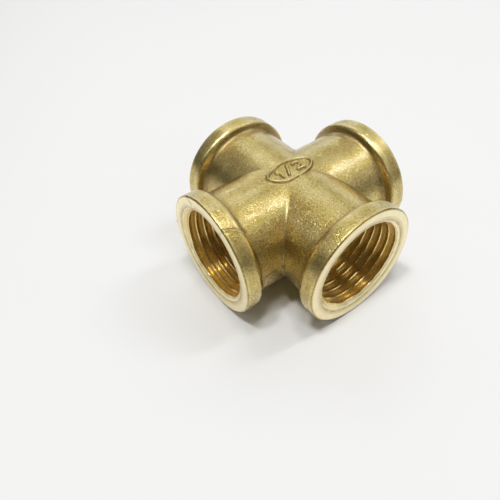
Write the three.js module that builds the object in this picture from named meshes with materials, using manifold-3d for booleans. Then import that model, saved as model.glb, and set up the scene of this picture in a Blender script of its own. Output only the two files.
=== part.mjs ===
// Equal four-way pipe cross in cast brass with four female G 1/2 ports.
//
// Millimetres, +Z up. The origin is the point where the two straight runs cross. One run lies
// along X and the other along Y, so every port faces a horizontal direction and the fitting
// rests on the lowest line of its four raised end bands.

import * as THREE from "three";
import { mergeVertices } from "three/addons/utils/BufferGeometryUtils.js";
import Module from "manifold-3d";

// Outside of the casting.
const CENTRE_TO_FACE = 21;
const BAND_RADIUS = 13;
const BAND_WIDTH = 3.2;
const BAND_EDGE_BREAK = 0.3;
const SHOULDER_LENGTH = 1.2;
const TUBE_RADIUS = 11.3;

// G 1/2 parallel pipe thread: 14 turns to the inch, 55 degree Whitworth form.
const THREAD_PITCH = 25.4 / 14;
const THREAD_MAJOR_RADIUS = 20.955 / 2;
const THREAD_MINOR_RADIUS = 18.631 / 2;
const THREAD_HALF_ANGLE = THREE.MathUtils.degToRad(27.5);
const THREAD_LENGTH = 10.4;

// Shallow countersink at each mouth.
const MOUTH_RADIUS = 10.6;
const MOUTH_DEPTH = 0.6;

// Raised oval on the top of the crossing, where the nominal size is cast.
const OVAL_CENTRE_X = 0.15;
const OVAL_CENTRE_Y = -0.45;
const OVAL_LENGTH = 11;
const OVAL_WIDTH = 5.6;
const OVAL_LINE = 0.4;
const OVAL_HEIGHT = 0.42;

// How finely round surfaces are divided. The thread and the bore share their divisions.
const OUTSIDE_SIDES = 48;
const BORE_SIDES = 24;
const OVAL_SIDES = 32;
const SHOULDER_STEPS = 3;
const CUT_OVERRUN = 0.2;
const LONG_OVERRUN = 2;

// The ports, by quarter turns from +X: where each thread starts, in divisions of its bore.
const THREAD_STARTS = [21, 1, 9, 18];
const QUARTER_TURN = 90;

const brass = new THREE.MeshStandardMaterial({ color: 0xb08d4a, roughness: 0.42, metalness: 1 });

const wasm = await Module();
wasm.setup();

// A closed three.js geometry as a solid that can be joined and cut.
function toSolid(geometry) {
  const bare = geometry.clone();
  bare.deleteAttribute("normal");
  bare.deleteAttribute("uv");
  const merged = mergeVertices(bare, 1e-5);
  const vertProperties = new Float32Array(merged.attributes.position.array);
  const triVerts = new Uint32Array(merged.index.array);
  return new wasm.Manifold(new wasm.Mesh({ numProp: 3, vertProperties, triVerts }));
}

function toGeometry(solid) {
  const mesh = solid.getMesh();
  const geometry = new THREE.BufferGeometry();
  geometry.setAttribute("position", new THREE.BufferAttribute(mesh.vertProperties, 3));
  geometry.setIndex(new THREE.BufferAttribute(mesh.triVerts, 1));
  geometry.computeVertexNormals();
  return geometry;
}

// Turns a profile of (radius, distance) points about the X axis. Flats, not edges, face
// straight up, down and sideways.
function turnedAboutX(points, sides) {
  const geometry = new THREE.LatheGeometry(points, sides, Math.PI / sides);
  return geometry.rotateZ(-Math.PI / 2);
}

// Scales a radius so that the flats of a polygon with this many sides touch the circle.
function outsideRadius(radius, sides) {
  return radius / Math.cos(Math.PI / sides);
}

// Half of a run's outline, from the middle of the run to the centre of the end face.
function armOutline() {
  const tube = outsideRadius(TUBE_RADIUS, OUTSIDE_SIDES);
  const band = outsideRadius(BAND_RADIUS, OUTSIDE_SIDES);
  const bandStart = CENTRE_TO_FACE - BAND_WIDTH;
  const shoulder = new THREE.CubicBezierCurve(
    new THREE.Vector2(tube, bandStart - SHOULDER_LENGTH),
    new THREE.Vector2(tube, bandStart - SHOULDER_LENGTH / 2),
    new THREE.Vector2(band, bandStart - SHOULDER_LENGTH / 2),
    new THREE.Vector2(band, bandStart),
  );
  return [
    ...shoulder.getPoints(SHOULDER_STEPS),
    new THREE.Vector2(band, CENTRE_TO_FACE - BAND_EDGE_BREAK),
    new THREE.Vector2(band - BAND_EDGE_BREAK, CENTRE_TO_FACE),
    new THREE.Vector2(0, CENTRE_TO_FACE),
  ];
}

// One straight run of the cross, solid, with a raised band at each end.
function solidRun() {
  const half = armOutline();
  const mirrored = half.map((point) => new THREE.Vector2(point.x, -point.y));
  return toSolid(turnedAboutX([...mirrored.reverse(), ...half], OUTSIDE_SIDES));
}

// The plain hole through one run, with the countersink at both mouths.
function runBore() {
  const slope = (MOUTH_RADIUS - THREAD_MINOR_RADIUS) / MOUTH_DEPTH;
  const half = [
    new THREE.Vector2(THREAD_MINOR_RADIUS, CENTRE_TO_FACE - MOUTH_DEPTH),
    new THREE.Vector2(MOUTH_RADIUS + slope * CUT_OVERRUN, CENTRE_TO_FACE + CUT_OVERRUN),
    new THREE.Vector2(0, CENTRE_TO_FACE + CUT_OVERRUN),
  ];
  const mirrored = half.map((point) => new THREE.Vector2(point.x, -point.y));
  return toSolid(turnedAboutX([...mirrored.reverse(), ...half], BORE_SIDES));
}

// The helix that the thread groove follows, about the X axis and right-handed. Its frames
// keep the groove's section upright: first axis away from the port's axis, second along it.
class ThreadHelix extends THREE.Curve {
  constructor(radius, start, turns) {
    super();
    this.radius = radius;
    this.start = start;
    this.turns = turns;
  }

  angleAt(t) {
    return t * this.turns * 2 * Math.PI + Math.PI / BORE_SIDES;
  }

  outwardAt(t) {
    const angle = this.angleAt(t);
    return new THREE.Vector3(0, Math.cos(angle), Math.sin(angle));
  }

  getPoint(t) {
    const point = this.outwardAt(t).multiplyScalar(this.radius);
    point.x = this.start + t * this.turns * THREAD_PITCH;
    return point;
  }

  getPointAt(u) {
    return this.getPoint(u);
  }

  computeFrenetFrames(segments) {
    const frames = { tangents: [], normals: [], binormals: [] };
    const alongAxis = new THREE.Vector3(-1, 0, 0);
    for (let i = 0; i <= segments; i += 1) {
      const outward = this.outwardAt(i / segments);
      frames.normals.push(outward);
      frames.binormals.push(alongAxis);
      frames.tangents.push(new THREE.Vector3().crossVectors(outward, alongAxis));
    }
    return frames;
  }
}

// The groove of a port's thread, for the port that faces +X.
function threadGroove() {
  const depth = THREAD_MAJOR_RADIUS - THREAD_MINOR_RADIUS;
  const rootHalfWidth = THREAD_PITCH / 12;
  const mouthHalfWidth = rootHalfWidth + (depth + CUT_OVERRUN) * Math.tan(THREAD_HALF_ANGLE);
  const section = new THREE.Shape([
    new THREE.Vector2(-CUT_OVERRUN, -mouthHalfWidth),
    new THREE.Vector2(depth, -rootHalfWidth),
    new THREE.Vector2(depth, rootHalfWidth),
    new THREE.Vector2(-CUT_OVERRUN, mouthHalfWidth),
  ]);
  const turns = Math.ceil(THREAD_LENGTH / THREAD_PITCH) + 1;
  const start = CENTRE_TO_FACE - THREAD_LENGTH;
  const helix = new ThreadHelix(THREAD_MINOR_RADIUS, start, turns);
  return toSolid(new THREE.ExtrudeGeometry(section, {
    steps: turns * BORE_SIDES,
    extrudePath: helix,
    bevelEnabled: false,
  }));
}

// An upright elliptical post standing through the top of the crossing.
function ovalPost(length, width, bottom, top) {
  const outline = new THREE.Shape();
  outline.absellipse(0, 0, width / 2, length / 2, 0, 2 * Math.PI);
  const post = new THREE.ExtrudeGeometry(outline, {
    depth: top - bottom,
    curveSegments: OVAL_SIDES / 2,
    bevelEnabled: false,
  });
  return toSolid(post.translate(OVAL_CENTRE_X, OVAL_CENTRE_Y, bottom));
}

// The raised oval line: a layer that follows both tubes' curves, cut to an elliptical ring.
function raisedOval() {
  const layerRadius = outsideRadius(TUBE_RADIUS + OVAL_HEIGHT, OUTSIDE_SIDES);
  const layerRun = toSolid(turnedAboutX([
    new THREE.Vector2(0, -OVAL_LENGTH),
    new THREE.Vector2(layerRadius, -OVAL_LENGTH),
    new THREE.Vector2(layerRadius, OVAL_LENGTH),
    new THREE.Vector2(0, OVAL_LENGTH),
  ], OUTSIDE_SIDES));
  const layer = layerRun.add(layerRun.rotate([0, 0, QUARTER_TURN]));
  const bottom = TUBE_RADIUS - LONG_OVERRUN;
  const top = TUBE_RADIUS + LONG_OVERRUN;
  const outer = ovalPost(OVAL_LENGTH, OVAL_WIDTH, bottom, top);
  const inner = ovalPost(
    OVAL_LENGTH - 2 * OVAL_LINE,
    OVAL_WIDTH - 2 * OVAL_LINE,
    bottom - LONG_OVERRUN,
    top + LONG_OVERRUN,
  );
  return outer.subtract(inner).intersect(layer);
}

// The whole casting: two crossing runs, the raised oval, two through bores, four threads.
function crossBody() {
  let body = solidRun().add(solidRun().rotate([0, 0, QUARTER_TURN])).add(raisedOval());
  body = body.subtract(runBore()).subtract(runBore().rotate([0, 0, QUARTER_TURN]));
  const groove = threadGroove();
  THREAD_STARTS.forEach((start, port) => {
    const turned = groove.rotate([(start * 360) / BORE_SIDES, 0, 0]);
    body = body.subtract(turned.rotate([0, 0, port * QUARTER_TURN]));
  });
  const mesh = new THREE.Mesh(toGeometry(body), brass);
  mesh.name = "cross_body";
  return mesh;
}

const fitting = new THREE.Group();
fitting.name = "pipe_cross";
fitting.add(crossBody());

export default fitting;
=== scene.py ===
"""Looks of the brass pipe cross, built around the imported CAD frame.

The fitting is one casting, so it is one mesh here too: four threaded arms welded at the
creases where they meet, with a raised size mark on top. Lengths are in metres, and +Z is up.
"""

import math

import bmesh
import bpy
import numpy as np
from mathutils import Matrix, Vector


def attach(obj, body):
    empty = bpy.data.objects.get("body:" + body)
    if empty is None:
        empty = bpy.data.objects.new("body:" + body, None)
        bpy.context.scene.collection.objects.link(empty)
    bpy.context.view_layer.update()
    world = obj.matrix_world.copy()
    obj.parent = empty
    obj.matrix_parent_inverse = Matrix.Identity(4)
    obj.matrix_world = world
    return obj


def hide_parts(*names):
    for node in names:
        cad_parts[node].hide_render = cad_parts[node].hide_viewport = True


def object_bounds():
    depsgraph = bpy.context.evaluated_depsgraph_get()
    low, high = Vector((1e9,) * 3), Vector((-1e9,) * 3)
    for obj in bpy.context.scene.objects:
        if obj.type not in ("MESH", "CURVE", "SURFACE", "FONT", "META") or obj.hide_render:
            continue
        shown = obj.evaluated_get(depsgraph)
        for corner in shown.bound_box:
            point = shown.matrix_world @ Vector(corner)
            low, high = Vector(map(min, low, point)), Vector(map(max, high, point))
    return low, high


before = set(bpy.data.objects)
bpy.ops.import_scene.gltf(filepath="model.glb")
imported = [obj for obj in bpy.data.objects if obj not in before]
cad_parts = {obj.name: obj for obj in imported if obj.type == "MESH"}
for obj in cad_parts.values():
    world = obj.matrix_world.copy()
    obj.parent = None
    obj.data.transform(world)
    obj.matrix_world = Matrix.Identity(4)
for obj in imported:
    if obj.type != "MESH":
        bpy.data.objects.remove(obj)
cad_box = [list(corner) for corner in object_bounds()]

MM = 0.001

# ---------------------------------------------------------------- sizes of the casting

CENTRE_TO_FACE = cad_box[1][0]
BAND_RADIUS = cad_box[1][2]
BAND_WIDTH = 3.2 * MM
SHOULDER_LENGTH = 1.1 * MM
TUBE_RADIUS = 11.3 * MM
BAND_START = CENTRE_TO_FACE - BAND_WIDTH
SHOULDER_START = BAND_START - SHOULDER_LENGTH
SHOULDER_LEAD = 1.2 * MM
SHOULDER_OVERLAP = 0.2 * MM
ROOT_ROUND = 0.9 * MM
BAND_REAR_ROUND = 1.0 * MM
BAND_FRONT_ROUND = 0.32 * MM
CREASE_BLEND = 0.35 * MM
BORE_BLEND = 0.3 * MM

# G 1/2 parallel pipe thread and the countersink at its mouth.
THREAD_PITCH = 25.4 / 14 * MM
THREAD_MINOR_RADIUS = 18.631 / 2 * MM
THREAD_FLANK = math.tan(math.radians(27.5))
THREAD_LENGTH = 10.4 * MM
THREAD_DEPTH = 0.8 * MM
THREAD_ROUND = 0.45 * MM
THREAD_RUN_OUT = 1.3 * THREAD_PITCH
CREST_HALF_WIDTH = 0.15 * MM
MOUTH_RADIUS = 10.6 * MM
MOUTH_DEPTH = 0.6 * MM
MOUTH_SLOPE = (MOUTH_RADIUS - THREAD_MINOR_RADIUS) / MOUTH_DEPTH
INNER_END = CENTRE_TO_FACE - THREAD_LENGTH

# The ports, by quarter turns from +X: the angle at which each thread was started.
THREAD_STARTS = [math.radians(degrees) for degrees in (199, 259, 19, 154)]

# Thin ridge along the middle height of the casting, where the mould halves met.
RIDGE_HEIGHT = 0.12 * MM
RIDGE_HALF_WIDTH = 0.17 * MM
RIDGE_UNEVENNESS = 0.6
RIDGE_WAVELENGTH = 5 * MM
RIDGE_NODE_RISE = 2.2
RIDGE_NODE_AT_SHOULDER = 1.1 * MM
RIDGE_NODE_AT_CREASE = 0.5 * MM

# Unevenness of the cast skin.
SWELL_HEIGHT = 0.022 * MM
SWELL_WAVELENGTH = 5 * MM
RIPPLE_HEIGHT = 0.008 * MM
RIPPLE_WAVELENGTH = 2.5 * MM
WAVES = 7
WAVELENGTH_SPREAD = (0.7, 1.5)
SWELL_SEED, RIPPLE_SEED, RIDGE_SEED, SEAM_SEED = range(1, 5)

# Raised oval with the nominal pipe size, on top of the Y run.
MARK_CENTRE = (0.15 * MM, -0.45 * MM)
MARK_HALF_LENGTH = 5.3 * MM
MARK_HALF_WIDTH = 2.6 * MM
MARK_LINE_HALF_WIDTH = 0.2 * MM
MARK_SOFTNESS = 0.1 * MM
MARK_HEIGHT = 0.42 * MM
MARK_MARGIN = 0.5 * MM

# Casting flaws on the -Y arm: a cold seam across the band, and a nick in the machined face.
# The seam's path is (distance out from the centre, angle from +X towards +Z), and the nick's
# is (distance from the axis, angle), in millimetres and degrees.
SEAM_PATH = [
    (21.2, 60),
    (20.5, 61),
    (20.1, 59.4),
    (19.5, 59.3),
    (19.1, 57.2),
    (18.6, 57.4),
    (18, 54),
    (17.5, 53),
]
NICK_PATH = [(13.1, 117), (12.4, 115), (11.9, 114.5), (11.2, 112)]
SEAM_ANGLES = (51, 65)
NICK_ANGLES = (109, 120)
SEAM_HALF_WIDTH = 0.18 * MM
SEAM_UNEVENNESS = 0.5
SEAM_WAVELENGTH = 1.5 * MM
SEAM_GROOVE_SHIFT = 1.4
SEAM_GROOVE_HALF_WIDTH = 0.6 * SEAM_HALF_WIDTH
SEAM_HEIGHT = 0.1 * MM
NICK_HALF_WIDTH = 0.13 * MM
NICK_DEPTH = 0.12 * MM
NICK_REACH = 0.4 * MM
FAR_AWAY = 10 * MM

# Painted shade round the face's outer rim, in the band's root, along the creases, round the mark's
# foot, in the seam's groove and in the nick; dirt at the mouth; rubbed wear with painted highlights
# on the band's edges and the mark's tops. Each as (strength, reach).
RIM_SHADE = (0.55, 0.1 * MM)
ROOT_SHADE = (0.5, 0.9 * MM)
CREASE_SHADE = (0.6, 0.35 * MM)
MARK_FOOT_SHADE = (0.9, 0.1 * MM)
SEAM_GROOVE_SHADE = (0.6, 0.12 * MM)
NICK_SHADE = (1, 0.15 * MM)
MOUTH_DIRT = (1, 0.16 * MM)
CORNER_WEAR_AND_HIGHLIGHT = (1, 0.16 * MM)
BEAD_WEAR_AND_HIGHLIGHT = (0.6, 0.4 * MM)
MARK_WEAR_AND_HIGHLIGHT = 0.8

# How finely the mesh is divided.
COLUMNS = 96
RIDGE_COLUMN_OFFSETS = [math.radians(degrees) for degrees in (0.4, 0.8, 1.3, 1.8)]
CROSSING_ROWS = 16
CROSSING_CROWDING = 1.8
BORE_ROWS = 7
ROUND_STEPS = 5
BAND_ROWS = (0.35, 0.65, 0.8, 0.9)
FACE_ROWS = (0.05, 0.5, 0.95, 1)
HALF_THREAD_ROWS = (0.05, 0.09, 0.13, 0.18, 0.25, 0.33, 0.42)
OVAL_STEPS = 72
FIGURE_STEPS = 12
FINE_EDGE = 0.13 * MM
WELD_DISTANCE = 0.002 * MM
CONE_TOLERANCE = 0.03 * MM
HALVINGS = 40
SHARP_ANGLE = math.radians(32)

# Material slots of the mesh.
CAST, FACE, THREAD = range(3)


# ---------------------------------------------------------------- shapes

def rounded_outline(corners, steps):
    """Replaces each inner corner (x, y, radius) of an open outline by an arc."""
    points = [np.array(corners[0][:2])]
    for before, corner, after in zip(corners, corners[1:], corners[2:]):
        here = np.array(corner[:2])
        back = np.array(before[:2]) - here
        ahead = np.array(after[:2]) - here
        back /= np.linalg.norm(back)
        ahead /= np.linalg.norm(ahead)
        half_angle = math.acos(np.clip(back @ ahead, -1, 1)) / 2
        bisector = (back + ahead) / np.linalg.norm(back + ahead)
        centre = here + bisector * corner[2] / math.sin(half_angle)
        start = here + back * corner[2] / math.tan(half_angle) - centre
        end = here + ahead * corner[2] / math.tan(half_angle) - centre
        for step in range(steps + 1):
            spoke = start + (end - start) * step / steps
            points.append(centre + spoke / np.linalg.norm(spoke) * corner[2])
    points.append(np.array(corners[-1][:2]))
    return points


def smooth_min(a, b, width):
    """The smaller of a and b, rounded off where they differ by less than the width."""
    overlap = np.maximum(width - np.abs(a - b), 0) / width
    return np.minimum(a, b) - overlap**2 * width / 4


def smooth_max(a, b, width):
    return -smooth_min(-a, -b, width)


def smooth_step(value):
    value = np.clip(value, 0, 1)
    return value * value * (3 - 2 * value)


def solve_surface(inside, low, high):
    """Finds where a solid ends between a low value inside it and a high one outside."""
    for _ in range(HALVINGS):
        middle = (low + high) / 2
        within = inside(middle)
        low = np.where(within, middle, low)
        high = np.where(within, high, middle)
    return (low + high) / 2


def filleted_radius(distance, angle, radius, blend):
    """Distance from an arm's axis to its surface, filleted into the run that crosses it."""
    def inside(value):
        crossing = np.hypot(distance, value * np.sin(angle))
        return smooth_min(value - radius, crossing - radius, blend) < 0
    return solve_surface(inside, radius - blend, radius + blend)


def top_height(x, y):
    """Height of the casting's top where the two runs cross."""
    def inside(z):
        along_y = np.hypot(x, z) - TUBE_RADIUS
        along_x = np.hypot(y, z) - TUBE_RADIUS
        return smooth_min(along_y, along_x, CREASE_BLEND) < 0
    low = np.full_like(x, TUBE_RADIUS / 2)
    return solve_surface(inside, low, np.full_like(x, BAND_RADIUS))


def wobble(points, wavelength, seed):
    """A smooth, repeatable unevenness between about -1 and 1, of a given wavelength."""
    random = np.random.default_rng(seed)
    total = np.zeros(len(points))
    for _ in range(WAVES):
        direction = random.normal(size=3)
        direction /= np.linalg.norm(direction)
        length = wavelength * random.uniform(*WAVELENGTH_SPREAD)
        phase = random.uniform(0, 2 * math.pi)
        total += np.sin(points @ direction * 2 * math.pi / length + phase)
    return total / math.sqrt(WAVES * 2)


# ---------------------------------------------------------------- one arm

def column_angles():
    """Angles round an arm, with more of them across the parting ridge on each side."""
    angles = [2 * math.pi * i / COLUMNS for i in range(COLUMNS)]
    for side in (0, math.pi):
        for offset in RIDGE_COLUMN_OFFSETS:
            angles += [side + offset, side - offset]
    return np.array(sorted(angle % (2 * math.pi) for angle in angles))


class Arm:
    """One arm in its own frame: +X out of the port, angles from +Y towards +Z."""

    def __init__(self, thread_start):
        self.angles = column_angles()
        self.thread_start = thread_start
        self.points = []
        self.faces = []
        self.slots = []
        self.build()

    def row(self, distance, radius):
        """Adds one vertex per column and returns the index of the first."""
        first = len(self.points)
        distance = np.broadcast_to(distance, self.angles.shape)
        y = radius * np.cos(self.angles)
        z = radius * np.sin(self.angles)
        self.points += list(zip(distance, y, z))
        return first

    def join(self, rows, slot):
        """Closes the rings of faces between neighbouring rows."""
        count = len(self.angles)
        for first, second in zip(rows, rows[1:]):
            for i in range(count):
                j = (i + 1) % count
                self.faces.append((first + i, second + i, second + j, first + j))
                self.slots.append(slot)

    def crossing_rows(self, radius, blend, end, count):
        """Rows from the creases where the arms meet out to a given distance."""
        crease_radius = radius + blend / 4
        crease = crease_radius * np.abs(np.cos(self.angles))
        rows = [self.row(crease, crease_radius)]
        for step in range(1, count + 1):
            mix = (step / count) ** CROSSING_CROWDING
            distance = crease * (1 - mix) + end * mix
            rows.append(self.row(distance, filleted_radius(distance, self.angles, radius, blend)))
        return rows

    def outside_rows(self):
        """The cast skin, from the creases over the band to the machined end face."""
        outline = rounded_outline(
            [
                (SHOULDER_START - SHOULDER_LEAD, TUBE_RADIUS),
                (SHOULDER_START + SHOULDER_OVERLAP, TUBE_RADIUS, ROOT_ROUND),
                (BAND_START - SHOULDER_OVERLAP, BAND_RADIUS, BAND_REAR_ROUND),
                (CENTRE_TO_FACE, BAND_RADIUS, BAND_FRONT_ROUND),
                (CENTRE_TO_FACE, MOUTH_RADIUS),
            ],
            ROUND_STEPS,
        )
        rows = self.crossing_rows(TUBE_RADIUS, CREASE_BLEND, outline[0][0], CROSSING_ROWS)
        flat_start = 2 * (ROUND_STEPS + 1)
        flat = outline[flat_start:flat_start + 2]
        between = [flat[0] + (flat[1] - flat[0]) * mix for mix in BAND_ROWS]
        for distance, radius in outline[1:flat_start + 1] + between + outline[flat_start + 1:-1]:
            rows.append(self.row(distance, radius))
        return rows

    def face_rows(self, outer_row):
        """The flat machined face, from its outer edge to the mouth."""
        outer = BAND_RADIUS - BAND_FRONT_ROUND
        rows = [outer_row]
        for mix in FACE_ROWS:
            rows.append(self.row(CENTRE_TO_FACE, outer * (1 - mix) + MOUTH_RADIUS * mix))
        return rows

    def thread_phases(self):
        """Where rows lie across one turn of the thread, in turns from a crest."""
        return [0, *HALF_THREAD_ROWS, 0.5, *(1 - phase for phase in reversed(HALF_THREAD_ROWS))]

    def thread_rows(self, phases):
        """Rows that follow the helix, squeezed flat at the port's mouth and inner end."""
        turn = (self.angles - self.thread_start) / (2 * math.pi)
        first_turn = math.floor(INNER_END / THREAD_PITCH - turn.max()) - 1
        last_turn = math.ceil(CENTRE_TO_FACE / THREAD_PITCH - turn.min()) + 1
        rows = []
        for whole in range(first_turn, last_turn):
            for phase in phases:
                distance = (whole + phase + turn) * THREAD_PITCH
                distance = np.clip(distance, INNER_END, CENTRE_TO_FACE)
                rows.append(self.row(distance, self.thread_radius(distance, turn)))
        return rows

    def thread_radius(self, distance, turn):
        """The thread's rounded form, fading out inwards and cut by the countersink."""
        phase = distance / THREAD_PITCH - turn
        across = np.abs((phase + 0.5) % 1 - 0.5) * THREAD_PITCH
        flank = (across - CREST_HALF_WIDTH) / THREAD_FLANK
        depth = smooth_min(smooth_max(flank, 0, THREAD_ROUND), THREAD_DEPTH, THREAD_ROUND)
        run_out = np.clip((distance - INNER_END) / THREAD_RUN_OUT, 0, 1)
        cone = MOUTH_RADIUS - (CENTRE_TO_FACE - distance) * MOUTH_SLOPE
        return np.maximum(THREAD_MINOR_RADIUS + depth * run_out, cone)

    def join_helix(self, rows, per_turn):
        """Joins the helical rows. Past the last column, a row carries on one turn further."""
        count = len(self.angles)
        for index, (first, second) in enumerate(zip(rows, rows[1:])):
            for i in range(count):
                if i + 1 < count:
                    ahead = (second + i + 1, first + i + 1)
                elif index + per_turn + 1 < len(rows):
                    ahead = (rows[index + 1 + per_turn], rows[index + per_turn])
                else:
                    continue
                corners = (first + i, second + i, *ahead)
                self.faces.append(corners)
                self.slots.append(FACE if self.on_cone(corners) else THREAD)

    def on_cone(self, corners):
        """Whether a face lies on the countersink, not on the thread."""
        x, y, z = np.mean([self.points[corner] for corner in corners], axis=0)
        cone = MOUTH_RADIUS - (CENTRE_TO_FACE - x) * MOUTH_SLOPE
        return abs(math.hypot(y, z) - cone) < CONE_TOLERANCE

    def build(self):
        outside = self.outside_rows()
        self.join(outside, CAST)
        self.join(self.face_rows(outside[-1]), FACE)
        phases = self.thread_phases()
        self.join_helix(self.thread_rows(phases), len(phases))
        bore = self.crossing_rows(THREAD_MINOR_RADIUS, BORE_BLEND, INNER_END, BORE_ROWS)
        self.join(bore, THREAD)


# ---------------------------------------------------------------- the whole casting

def weld_arms():
    """One arm for each port, turned into place and welded into a closed mesh."""
    points = []
    faces = []
    slots = []
    for port, thread_start in enumerate(THREAD_STARTS):
        arm = Arm(thread_start)
        turn = np.array(Matrix.Rotation(port * math.pi / 2, 3, "Z"))
        offset = len(points)
        points += (np.array(arm.points) @ turn.T).tolist()
        faces += [tuple(index + offset for index in face) for face in arm.faces]
        slots += arm.slots
    mesh = bpy.data.meshes.new("pipe_cross")
    mesh.from_pydata(points, [], faces)
    mesh.polygons.foreach_set("material_index", slots)
    work = bmesh.new()
    work.from_mesh(mesh)
    bmesh.ops.remove_doubles(work, verts=work.verts, dist=WELD_DISTANCE)
    bmesh.ops.recalc_face_normals(work, faces=work.faces)
    return mesh, work


def refine(work, wanted, longest):
    """Splits the edges of the wanted faces until none is longer than this."""
    while True:
        faces = [face for face in work.faces if wanted(face.calc_center_median())]
        edges = {edge for face in faces for edge in face.edges if edge.calc_length() > longest}
        if not edges:
            return
        bmesh.ops.subdivide_edges(work, edges=list(edges), cuts=1, use_grid_fill=True)


def in_seam_area(point):
    """Whether a point lies where the cold seam crosses the -Y band."""
    angle = math.degrees(math.atan2(point.z, point.x))
    outside = math.hypot(point.x, point.z) > BAND_RADIUS - 1 * MM
    on_band = outside and -point.y > BAND_START - 0.2 * MM
    return on_band and SEAM_ANGLES[0] < angle < SEAM_ANGLES[1]


def in_nick_area(point):
    """Whether a point lies where the -Y port's face is nicked."""
    angle = math.degrees(math.atan2(point.z, point.x))
    on_face = -point.y > CENTRE_TO_FACE - NICK_REACH and point.z > 10 * MM
    return on_face and NICK_ANGLES[0] < angle < NICK_ANGLES[1]


def in_mark_area(point):
    """Whether a point lies on the top of the casting, round the raised oval."""
    x = abs(point.x - MARK_CENTRE[0]) < MARK_HALF_WIDTH + MARK_MARGIN
    y = abs(point.y - MARK_CENTRE[1]) < MARK_HALF_LENGTH + MARK_MARGIN
    outside = point.z > TUBE_RADIUS / 2 and math.hypot(point.x, point.z) > 10 * MM
    return x and y and outside


def distance_to_path(x, y, path):
    """Distance from each point to a path of straight pieces."""
    nearest = np.full(len(x), np.inf)
    for (x0, y0), (x1, y1) in zip(path, path[1:]):
        span = np.array((x1 - x0, y1 - y0))
        along = np.clip(((x - x0) * span[0] + (y - y0) * span[1]) / (span @ span), 0, 1)
        gap = np.hypot(x - x0 - along * span[0], y - y0 - along * span[1])
        nearest = np.minimum(nearest, gap)
    return nearest


def arc(centre, radius_x, radius_y, start, end, steps):
    """Points along part of an ellipse, between two angles in degrees."""
    points = []
    for i in range(steps + 1):
        angle = math.radians(start + (end - start) * i / steps)
        x = centre[0] + radius_x * math.cos(angle)
        y = centre[1] + radius_y * math.sin(angle)
        points.append((x, y))
    return points


def mark_strokes():
    """The oval and the size 1/2, in millimetres: first along the oval, then up the figures."""
    length = MARK_HALF_LENGTH / MM
    width = MARK_HALF_WIDTH / MM
    oval = arc((0, 0), length, width, 0, 360, OVAL_STEPS)
    one = [(-3.1, 0.5), (-2.5, 1.1), (-2.5, -1.1)]
    slash = [(-1.2, -1.3), (0.2, 1.3)]
    two = arc((2.0, 0.5), 0.75, 0.65, 165, -35, FIGURE_STEPS) + [(1.2, -1.1), (2.9, -1.1)]
    return [oval, one, slash, two]


def mark_gap(x, y):
    """Distance to the strokes of the mark. The figures read along +Y."""
    along = (y - MARK_CENTRE[1]) / MM
    up = -(x - MARK_CENTRE[0]) / MM
    return np.min([distance_to_path(along, up, path) for path in mark_strokes()], axis=0) * MM


def mark_height(x, y):
    """Height of the raised oval and figures over the tube."""
    edge = (MARK_LINE_HALF_WIDTH + MARK_SOFTNESS - mark_gap(x, y)) / (2 * MARK_SOFTNESS)
    return MARK_HEIGHT * smooth_step(edge)


def cast_only(mesh):
    """Marks the vertices that only cast faces touch."""
    touched = np.zeros(len(mesh.vertices), dtype=bool)
    for polygon in mesh.polygons:
        if polygon.material_index != CAST:
            touched[list(polygon.vertices)] = True
    return ~touched


def bell(value, width):
    """1 at zero, fading to nothing a few widths away."""
    return np.exp(-(value / width) ** 2)


def seam_gap(points, shift):
    """Distance to the cold seam across the -Y band, moved round the band by some degrees."""
    scale = math.radians(BAND_RADIUS / MM)
    path = [(distance, (angle + shift) * scale) for distance, angle in SEAM_PATH]
    angle = np.degrees(np.arctan2(points[:, 2], points[:, 0]))
    gap = distance_to_path(-points[:, 1] / MM, angle * scale, path) * MM
    off_band = -points[:, 1] < BAND_START - 0.5 * MM
    return gap + off_band * FAR_AWAY


def nick_gap(points):
    """Distance to the nick in the machined face of the -Y port."""
    path = arc_points(NICK_PATH)
    gap = distance_to_path(points[:, 0] / MM, points[:, 2] / MM, path) * MM
    off_face = -points[:, 1] < CENTRE_TO_FACE - NICK_REACH
    return gap + off_face * FAR_AWAY


def arc_points(path):
    """Turns (radius, degrees) pairs into (x, y) pairs."""
    return [(r * math.cos(math.radians(a)), r * math.sin(math.radians(a))) for r, a in path]


def relief(points):
    """How far the cast skin stands proud of its ideal shape."""
    x = np.abs(points[:, 0])
    y = np.abs(points[:, 1])
    ridge = 1 + RIDGE_UNEVENNESS * wobble(points, RIDGE_WAVELENGTH, RIDGE_SEED)
    ridge += RIDGE_NODE_RISE * bell(np.maximum(x, y) - SHOULDER_START, RIDGE_NODE_AT_SHOULDER)
    ridge += RIDGE_NODE_RISE * bell(x - y, RIDGE_NODE_AT_CREASE)
    ridge *= RIDGE_HEIGHT * bell(points[:, 2], RIDGE_HALF_WIDTH)
    uneven = SWELL_HEIGHT * wobble(points, SWELL_WAVELENGTH, SWELL_SEED)
    uneven += RIPPLE_HEIGHT * wobble(points, RIPPLE_WAVELENGTH, RIPPLE_SEED)
    lip = 1 + SEAM_UNEVENNESS * wobble(points, SEAM_WAVELENGTH, SEAM_SEED)
    lip *= SEAM_HEIGHT * bell(seam_gap(points, 0), SEAM_HALF_WIDTH)
    groove = SEAM_HEIGHT * bell(seam_gap(points, SEAM_GROOVE_SHIFT), SEAM_GROOVE_HALF_WIDTH)
    return ridge + uneven + lip - groove


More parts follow.
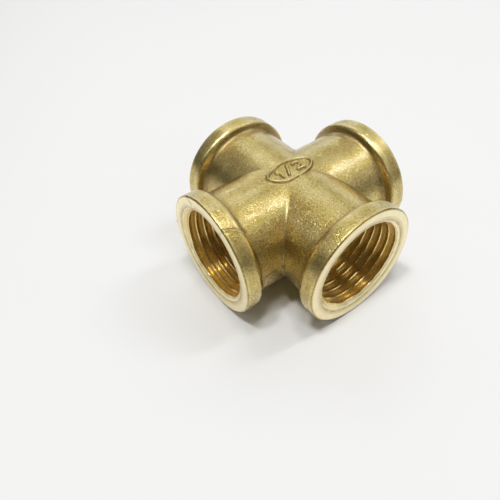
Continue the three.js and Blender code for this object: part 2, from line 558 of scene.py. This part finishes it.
def shape_skin(mesh):
    """Gives the cast skin its mark, its parting ridge and its unevenness."""
    points = np.array([vertex.co for vertex in mesh.vertices])
    normals = np.array([vertex.normal for vertex in mesh.vertices])
    marked = np.array([in_mark_area(vertex.co) for vertex in mesh.vertices])
    skin = cast_only(mesh)
    marked &= skin
    x, y = points[marked, 0], points[marked, 1]
    points[marked, 2] = top_height(x, y) + mark_height(x, y)
    points[skin] += normals[skin] * relief(points[skin])[:, None]
    points[:, 1] += NICK_DEPTH * bell(nick_gap(points), NICK_HALF_WIDTH)
    mesh.vertices.foreach_set("co", points.ravel())


def store(mesh, name, values):
    """Keeps a value for each vertex, for the materials to read."""
    attribute = mesh.attributes.new(name, "FLOAT", "POINT")
    attribute.data.foreach_set("value", np.clip(values, 0, 1))


def age_and_shade_surface(mesh):
    """Records, from 0 to 1, where dirt gathers and shade is painted, and where edges are rubbed
    bright and highlights are painted.
    """
    def layer(kind, gap):
        strength, reach = kind
        return strength * bell(gap, reach)

    points = np.array([vertex.co for vertex in mesh.vertices])
    x = np.abs(points[:, 0])
    y = np.abs(points[:, 1])
    along = np.maximum(x, y)
    radius = np.hypot(np.minimum(x, y), points[:, 2])
    outside = radius > TUBE_RADIUS - 0.7 * MM
    on_band = radius > BAND_RADIUS - 0.5 * MM
    marked = np.array([in_mark_area(vertex.co) for vertex in mesh.vertices])
    mark_x = points[marked, 0]
    mark_y = points[marked, 1]

    # Painted shade: a dark line round the outer edge of each machined face.
    rim = layer(RIM_SHADE, along - CENTRE_TO_FACE + 0.1 * MM) * (radius > BAND_RADIUS - 0.4 * MM)
    # Painted shade in the concave root between each tube and its band.
    root = layer(ROOT_SHADE, along - BAND_START + 0.8 * SHOULDER_LENGTH) * ~on_band
    # Painted shade along the creases where the arms meet, fading out near the centre of the cross.
    crease = layer(CREASE_SHADE, x - y) * outside * smooth_step(along / (9 * MM))
    # Painted shade round the foot of the raised oval and figures.
    foot = np.zeros(len(points))
    foot[marked] = layer(MARK_FOOT_SHADE, mark_gap(mark_x, mark_y) - 0.33 * MM)
    # Painted shade in the groove beside the seam's lip.
    seam = layer(SEAM_GROOVE_SHADE, seam_gap(points, SEAM_GROOVE_SHIFT))
    # Painted shade inside the nick.
    nick = layer(NICK_SHADE, nick_gap(points))
    in_bore = (radius < MOUTH_RADIUS) & (along < CENTRE_TO_FACE - MOUTH_DEPTH / 2)
    depth = np.clip((radius - THREAD_MINOR_RADIUS) / THREAD_DEPTH, 0, 1)
    thread = np.where(in_bore, depth, 0)
    mouth = layer(MOUTH_DIRT, radius - MOUTH_RADIUS) * (along > CENTRE_TO_FACE - 0.2 * MM)
    # The dark layer: painted shade from rim, root, creases, mark foot, seam and nick, with the film
    # in the thread hollows and dirt at the mouth.
    store(mesh, "dirt_and_shade", (rim + root + crease) * ~in_bore + foot + seam + nick + thread + mouth)

    # Paler along the band's front and rear rounded edges: rubbed wear together with a painted
    # highlight.
    corner = layer(CORNER_WEAR_AND_HIGHLIGHT, along - CENTRE_TO_FACE + 0.42 * MM) * on_band
    bead = layer(BEAD_WEAR_AND_HIGHLIGHT, along - BAND_START - 0.3 * MM) * on_band
    # Paler on the mark's raised tops: rubbed wear together with a painted highlight.
    raised = np.zeros(len(points))
    raised[marked] = MARK_WEAR_AND_HIGHLIGHT * mark_height(mark_x, mark_y) / MARK_HEIGHT
    # The pale layer: rubbed wear and painted highlights.
    store(mesh, "wear_and_highlight", (corner + bead) * outside + raised)


def sharpen(mesh):
    """Keeps machined edges crisp, and leaves every edge of the casting smooth."""
    mesh.polygons.foreach_set("use_smooth", [True] * len(mesh.polygons))
    work = bmesh.new()
    work.from_mesh(mesh)
    for edge in work.edges:
        machined = any(face.material_index != CAST for face in edge.link_faces)
        edge.smooth = not (machined and edge.calc_face_angle(0) > SHARP_ANGLE)
    work.to_mesh(mesh)
    work.free()


def build_cross():
    mesh, work = weld_arms()
    for area in (in_mark_area, in_seam_area, in_nick_area):
        refine(work, area, FINE_EDGE)
    work.to_mesh(mesh)
    work.free()
    shape_skin(mesh)
    age_and_shade_surface(mesh)
    sharpen(mesh)
    cross = bpy.data.objects.new("pipe_cross", mesh)
    bpy.context.collection.objects.link(cross)
    return cross


cross = build_cross()


# ---------------------------------------------------------------- materials

# Cast skin: colours, and the size and relief of each layer of its grain.
SAND_DARK = (0.39, 0.25, 0.04)
SAND_PALE = (0.79, 0.67, 0.30)
# Pale colour for rubbed wear and painted highlights, and dark colour for painted shade and dirt.
RUBBED_AND_HIGHLIGHT = (0.88, 0.75, 0.34)
SHADE_AND_GRIME = (0.15, 0.075, 0.02)
SAND_SIZE = 0.2 * MM
SAND_RELIEF = 0.065 * MM
GRAIN_SIZE = 0.45 * MM
GRAIN_RELIEF = 0.045 * MM
CAST_BLOTCH_SIZE = 4 * MM
CAST_BLOTCH_RELIEF = 0.12 * MM

# Turned faces: colours, and the size and relief of the marks of the lathe tool.
FACE_DULL = (0.90, 0.79, 0.49)
FACE_BRIGHT = (0.98, 0.88, 0.58)
FACE_RING = (0.78, 0.66, 0.36)
# Dark colour for stains and specks, and for painted shade round the outer edge and in the nick.
FACE_STAIN_AND_SHADE = (0.36, 0.26, 0.10)
RING_SIZE = 0.22 * MM
RING_RELIEF = 0.012 * MM
FACE_BLOTCH_SIZE = 1.6 * MM
SPECK_SIZE = 0.4 * MM

# Threads: bare crests, an oily film in the hollows, and fresh metal at the countersink.
BARE_CREST = (0.92, 0.80, 0.40)
OIL_FILM = (0.61, 0.37, 0.05)
FRESH_CUT = (0.88, 0.73, 0.40)
MARK_SIZE = 0.12 * MM
MARK_RELIEF = 0.006 * MM
FILM_SIZE = 0.3 * MM
THREAD_BLOTCH_SIZE = 2.5 * MM
FRESH_CUT_START = CENTRE_TO_FACE - 1.0 * MM
FRESH_CUT_FULL = CENTRE_TO_FACE - 0.6 * MM


def as_color(value):
    """A colour with its alpha, or a socket as it is."""
    return value if isinstance(value, bpy.types.NodeSocket) else (*value, 1)


class Graph:
    """A metal material and short names for the nodes that feed it."""

    def __init__(self, name):
        self.material = bpy.data.materials.new(name)
        self.material.use_nodes = True
        self.tree = self.material.node_tree
        self.shader = self.tree.nodes["Principled BSDF"]
        self.shader.inputs["Metallic"].default_value = 1
        self.place = self.add("ShaderNodeTexCoord", {}).outputs["Object"]

    def set(self, socket, value):
        if isinstance(value, bpy.types.NodeSocket):
            self.tree.links.new(value, socket)
        else:
            socket.default_value = value

    def add(self, kind, inputs, **settings):
        node = self.tree.nodes.new(kind)
        for name, value in settings.items():
            setattr(node, name, value)
        for name, value in inputs.items():
            self.set(node.inputs[name], value)
        return node

    def math(self, operation, first, second=0.0):
        return self.add("ShaderNodeMath", {0: first, 1: second}, operation=operation).outputs[0]

    def total(self, base, *terms):
        """Adds (value, weight) pairs to a base number."""
        result = base
        for value, weight in terms:
            product = self.math("MULTIPLY", value, weight)
            result = self.math("ADD", product, result)
        return result

    def noise(self, size, detail=0.0, roughness=0.5):
        inputs = {"Vector": self.place, "Scale": 1 / size, "Detail": detail, "Roughness": roughness}
        return self.add("ShaderNodeTexNoise", inputs).outputs["Fac"]

    def lines(self, value, size, detail=1.0):
        """Noise that only changes along one measure, such as the marks of a lathe tool."""
        inputs = {"W": value, "Scale": 1 / size, "Detail": detail}
        return self.add("ShaderNodeTexNoise", inputs, noise_dimensions="1D").outputs["Fac"]

    def stretch(self, value, low, high, to_low=0.0, to_high=1.0):
        inputs = {0: value, 1: low, 2: high, 3: to_low, 4: to_high}
        return self.add("ShaderNodeMapRange", inputs).outputs[0]

    def blend(self, amount, first, second):
        inputs = {0: amount, 6: as_color(first), 7: as_color(second)}
        return self.add("ShaderNodeMix", inputs, data_type="RGBA").outputs[2]

    def stored(self, name):
        return self.add("ShaderNodeAttribute", {}, attribute_name=name).outputs["Fac"]

    def bump(self, *layers):
        """Stacks (height, depth) layers of relief."""
        normal = None
        for height, depth in layers:
            node = self.add("ShaderNodeBump", {"Height": height, "Distance": depth})
            if normal:
                self.set(node.inputs["Normal"], normal)
            normal = node.outputs["Normal"]
        self.set(self.shader.inputs["Normal"], normal)

    def measure(self):
        """Finds how far out along its arm a point is, how far from the axis, and both ways."""
        place_x, place_y, place_z = self.add("ShaderNodeSeparateXYZ", {0: self.place}).outputs
        x = self.math("ABSOLUTE", place_x)
        y = self.math("ABSOLUTE", place_y)
        side = self.math("MINIMUM", x, y)
        side_squared = self.math("MULTIPLY", side, side)
        squares = self.math("ADD", self.math("MULTIPLY", place_z, place_z), side_squared)
        on_y_arm = self.math("LESS_THAN", x, y)
        on_x_arm = self.math("LESS_THAN", y, x)
        radial_x = self.math("MULTIPLY", place_x, on_y_arm)
        radial_y = self.math("MULTIPLY", place_y, on_x_arm)
        self.along = self.math("MAXIMUM", x, y)
        self.radius = self.math("SQRT", squares)
        self.radial = self.vector(radial_x, radial_y, place_z)
        self.axial = self.vector(on_x_arm, on_y_arm, 0)

    def vector(self, x, y, z):
        return self.add("ShaderNodeCombineXYZ", {0: x, 1: y, 2: z}).outputs[0]

    def stretch_glints(self, amount, direction):
        """Draws reflections out along a direction, as marks cut across it do."""
        self.shader.inputs["Anisotropic"].default_value = amount
        self.set(self.shader.inputs["Tangent"], direction)

    def finish(self, color, roughness):
        self.set(self.shader.inputs["Base Color"], color)
        self.set(self.shader.inputs["Roughness"], roughness)
        return self.material


def cast_brass():
    """Shot-blasted cast skin: a sandy grain, browner in its pits, darkened by painted shade and
    dirt, and paler where rubbed and where highlights are painted.
    """
    graph = Graph("cast_brass")
    sand = graph.noise(SAND_SIZE, 1)
    grain = graph.noise(GRAIN_SIZE, 2, 0.6)
    blotch = graph.noise(CAST_BLOTCH_SIZE, 2)
    dirt_and_shade = graph.stored("dirt_and_shade")
    wear_and_highlight = graph.stored("wear_and_highlight")
    tone = graph.total(0, (sand, 3.0), (grain, 1.4), (blotch, 1.0))
    tone = graph.stretch(tone, 2.1, 3.3)
    color = graph.blend(tone, SAND_DARK, SAND_PALE)
    # Paler where rubbed and where highlights are painted on the band's edges and the mark's tops.
    color = graph.blend(graph.math("MULTIPLY", wear_and_highlight, 0.8), color, RUBBED_AND_HIGHLIGHT)
    # Darker where shade is painted in rims, roots, creases and grooves, and where dirt lies.
    color = graph.blend(graph.math("MULTIPLY", dirt_and_shade, 0.85), color, SHADE_AND_GRIME)
    graph.shader.inputs["Coat Weight"].default_value = 0.7
    graph.shader.inputs["Coat IOR"].default_value = 1.6
    graph.shader.inputs["Coat Roughness"].default_value = 0.25
    graph.bump((blotch, CAST_BLOTCH_RELIEF), (grain, GRAIN_RELIEF), (sand, SAND_RELIEF))
    return graph.finish(color, graph.total(0.375, (tone, -0.12), (dirt_and_shade, 0.2)))


def machined_brass():
    """Turned end faces: pale metal with faint rings, dark specks at their edges, and painted shade
    round the outer edge and in the nick.
    """
    graph = Graph("machined_brass")
    graph.measure()
    rings = graph.lines(graph.radius, RING_SIZE)
    blotch = graph.noise(FACE_BLOTCH_SIZE, 2)
    specks = graph.stretch(graph.noise(SPECK_SIZE, 1), 0.62, 0.72)
    dirt_and_shade = graph.stored("dirt_and_shade")
    color = graph.blend(graph.stretch(blotch, 0.3, 0.7), FACE_DULL, FACE_BRIGHT)
    color = graph.blend(graph.stretch(rings, 0.3, 0.7, 0, 0.2), color, FACE_RING)
    # Painted shade round the outer edge and in the nick, with the real stain at the mouth and the
    # specks.
    stain_and_shade = graph.math("MULTIPLY", dirt_and_shade, graph.stretch(blotch, 0.3, 0.6, 0.5, 1))
    stain_and_shade = graph.math("ADD", stain_and_shade, graph.math("MULTIPLY", specks, 0.12))
    color = graph.blend(stain_and_shade, color, FACE_STAIN_AND_SHADE)
    graph.stretch_glints(0.5, graph.radial)
    graph.bump((rings, RING_RELIEF))
    return graph.finish(color, graph.total(0.22, (blotch, 0.12), (rings, 0.08)))


def threaded_brass():
    """Cut threads and bore: tool marks round the axis draw every glint out along it."""
    graph = Graph("threaded_brass")
    graph.measure()
    marks = graph.lines(graph.along, MARK_SIZE)
    mottle = graph.noise(FILM_SIZE, 2, 0.6)
    blotch = graph.noise(THREAD_BLOTCH_SIZE, 2)
    hollow = graph.stretch(graph.stored("dirt_and_shade"), 0.04, 0.3)
    film = graph.total(0, (mottle, 0.4), (blotch, 0.5), (hollow, 0.55))
    film = graph.stretch(film, 0.35, 1.1)
    color = graph.blend(film, BARE_CREST, OIL_FILM)
    metallic = graph.stretch(film, 0, 1, 1, 0.35)
    fresh = graph.stretch(graph.along, FRESH_CUT_START, FRESH_CUT_FULL)
    color = graph.blend(fresh, color, FRESH_CUT)
    graph.set(graph.shader.inputs["Metallic"], graph.math("MAXIMUM", metallic, fresh))
    graph.stretch_glints(1, graph.axial)
    graph.bump((marks, MARK_RELIEF))
    return graph.finish(color, graph.total(0.2, (film, 0.08)))


for make_material in (cast_brass, machined_brass, threaded_brass):
    cross.data.materials.append(make_material())
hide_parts("cross_body")
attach(cross, "root")


# ---------------------------------------------------------------- studio

def aimed(obj, place, target, roll=0.0):
    """Puts a camera or lamp at a place, looking at a target, leaning by the roll."""
    direction = Vector(target) - Vector(place)
    facing = direction.to_track_quat("-Z", "Y").to_matrix().to_4x4()
    obj.matrix_world = Matrix.Translation(place) @ facing @ Matrix.Rotation(roll, 4, "Z")


FLOOR_REACH = 3.0
FLOOR_COLOR = (0.94, 0.94, 0.93, 1)
FLOOR_ROUGHNESS = 0.6


def add_floor():
    """A plain pale floor, under the lowest point of the fitting."""
    mesh = bpy.data.meshes.new("floor")
    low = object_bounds()[0][2]
    signs = [(-1, -1), (1, -1), (1, 1), (-1, 1)]
    corners = [(x * FLOOR_REACH, y * FLOOR_REACH, low) for x, y in signs]
    mesh.from_pydata(corners, [], [(0, 1, 2, 3)])
    floor = bpy.data.objects.new("floor", mesh)
    bpy.context.collection.objects.link(floor)
    material = bpy.data.materials.new("white_table")
    material.use_nodes = True
    shader = material.node_tree.nodes["Principled BSDF"]
    shader.inputs["Base Color"].default_value = FLOOR_COLOR
    shader.inputs["Roughness"].default_value = FLOOR_ROUGHNESS
    mesh.materials.append(material)


# Softboxes aimed at the fitting from the same distance: name, degrees round from +X towards
# +Y, degrees up, width, height, watts.
SOFTBOX_DISTANCE = 0.6
SOFTBOXES = [
    ("overhead", 0, 86, 0.08, 0.08, 0.62),
    ("front_high", 270, 74, 0.06, 0.07, 1.06),
    ("front_right_high", 315, 74, 0.07, 0.07, 0.58),
    ("key", 72, 53, 0.07, 0.16, 0.54),
    ("back_right_high", 60, 65, 0.1, 0.1, 0.1),
    ("right", 0, 37, 0.22, 0.22, 0.36),
    ("back_left_low", 128, 16, 0.5, 0.2, 0.5),
    ("left", 155, 50, 0.34, 0.2, 0.48),
    ("front_left", 258, 46, 0.34, 0.2, 0.27),
    ("right_low", 50, 20, 0.2, 0.2, 0.15),
    ("left_low", 166, 18, 0.24, 0.16, 0.3),
    ("front_strip", 330, 18, 0.012, 0.3, 0.05),
    ("left_front_low", 212, 30, 0.3, 0.2, 0.08),
    ("left_mid", 200, 45, 0.12, 0.12, 0.05),
    ("left_front_mid", 235, 35, 0.15, 0.15, 0.06),
    ("back_right", 52, 38, 0.2, 0.2, 0.13),
    ("back", 92, 30, 0.2, 0.2, 0.16),
    ("back_left", 112, 48, 0.2, 0.2, 0.14),
]


def add_softbox(name, azimuth, elevation, width, height, power):
    """A soft rectangular light in the studio."""
    data = bpy.data.lights.new(name, "AREA")
    data.shape = "RECTANGLE"
    data.size = width
    data.size_y = height
    data.energy = power
    lamp = bpy.data.objects.new(name, data)
    bpy.context.collection.objects.link(lamp)
    turn = math.radians(azimuth)
    rise = math.radians(elevation)
    flat = math.cos(rise)
    out = Vector((math.cos(turn) * flat, math.sin(turn) * flat, math.sin(rise)))
    aimed(lamp, out * SOFTBOX_DISTANCE, (0, 0, 0))


# The camera, at the photograph's viewing angle.
CAMERA_PLACE = (0.0564, -0.0488, 0.0672)
CAMERA_AZIMUTH = math.radians(56.0)
CAMERA_ELEVATION = math.radians(43.1)
CAMERA_ROLL = math.radians(-3.8)
CAMERA_SENSOR = 36
CAMERA_LENS = 33.1
CAMERA_SHIFT = -0.06
CAMERA_NEAREST = 1 * MM


def add_camera():
    data = bpy.data.cameras.new("camera")
    data.sensor_width = CAMERA_SENSOR
    data.lens = CAMERA_LENS
    data.shift_y = CAMERA_SHIFT
    data.clip_start = CAMERA_NEAREST
    camera = bpy.data.objects.new("camera", data)
    bpy.context.collection.objects.link(camera)
    flat = math.cos(CAMERA_ELEVATION)
    ahead = Vector((
        -math.sin(CAMERA_AZIMUTH) * flat,
        math.cos(CAMERA_AZIMUTH) * flat,
        -math.sin(CAMERA_ELEVATION),
    ))
    aimed(camera, CAMERA_PLACE, Vector(CAMERA_PLACE) + ahead, CAMERA_ROLL)
    bpy.context.scene.camera = camera


# Display brightness for a few scene brightnesses: deep shadows, and a soft shoulder.
WHITE_LEVEL = 1.3
CONTRAST = [(0.06, 0.042), (0.12, 0.09), (0.25, 0.205), (0.45, 0.41), (0.7, 0.62), (1.0, 0.88)]
COMBINED_CURVE = 3

WORLD_STRENGTH = 0.02


def set_contrast():
    """Shows scene brightness much as the photograph's camera did."""
    settings = bpy.context.scene.view_settings
    settings.view_transform = "Standard"
    settings.use_curve_mapping = True
    mapping = settings.curve_mapping
    mapping.white_level = [WHITE_LEVEL] * 3
    for scene_value, shown_value in CONTRAST:
        mapping.curves[COMBINED_CURVE].points.new(scene_value / WHITE_LEVEL, shown_value)
    mapping.update()


def set_world():
    """A faint even light from all round."""
    world = bpy.context.scene.world or bpy.data.worlds.new("world")
    bpy.context.scene.world = world
    world.use_nodes = True
    background = world.node_tree.nodes["Background"]
    background.inputs["Color"].default_value = (1, 1, 1, 1)
    background.inputs["Strength"].default_value = WORLD_STRENGTH


add_floor()
add_camera()
set_world()
for softbox in SOFTBOXES:
    add_softbox(*softbox)
set_contrast()
